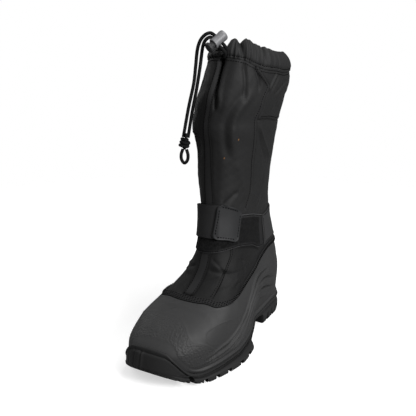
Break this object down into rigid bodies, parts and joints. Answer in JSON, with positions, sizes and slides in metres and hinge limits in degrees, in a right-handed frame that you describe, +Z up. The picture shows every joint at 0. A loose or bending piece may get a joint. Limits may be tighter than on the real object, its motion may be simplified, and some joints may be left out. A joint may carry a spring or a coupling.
{
  "type": "winter pac boot",
  "caption": "Tall winter pac boot with a moulded rubber lower shell, lugged sole, padded nylon shaft, ankle strap and drawcord collar.",
  "frame": {"origin": "on the ground, under the middle of the boot's box, measured without the drawcord and its lock", "axes": "+Z up the shaft, -Y to the toe, +X to the boot's outer side"},
  "size_m": [0.1318, 0.3109, 0.412],
  "materials": {
    "sole_rubber": "matte black moulded rubber",
    "shell_rubber": "matte charcoal rubber, finely stippled at the toe",
    "insole_foam": "felt covered foam",
    "grosgrain": "ribbed woven tape with two stitch rows",
    "nylon": "matte black woven nylon, padded",
    "webbing": "flat woven webbing",
    "loop_pile": "fuzzy loop pile",
    "tab_rubber": "matte dark grey rubber",
    "lock_plastic": "smooth glossy dark grey plastic",
    "cord": "round braided cord"
  },
  "bodies": {
    "boot": {"outsole": "sole_rubber", "insole": "insole_foam", "shell": "shell_rubber", "binding": "grosgrain", "shaft": "nylon", "collar": "nylon", "front_strip": "webbing", "ankle_band": "webbing", "loop_patch": "loop_pile", "heel_stay": "tab_rubber", "strap": "webbing", "strap_tab": "tab_rubber", "lock_barrel": "lock_plastic", "drawcord_outer": "cord", "drawcord_inner": "cord", "drawcord_knot": "cord", "drawcord_loop": "cord"},
    "lock_button": {"lock_plunger": "lock_plastic"}
  },
  "joints": [
    {"name": "lock_press", "type": "slide", "parent": "boot", "child": "lock_button", "axis": [0.4203, 0.6804, 0.6004], "range_m": [0, 0.004], "stiffness_N_per_m": 300, "springref_m": -0.006}
  ]
}
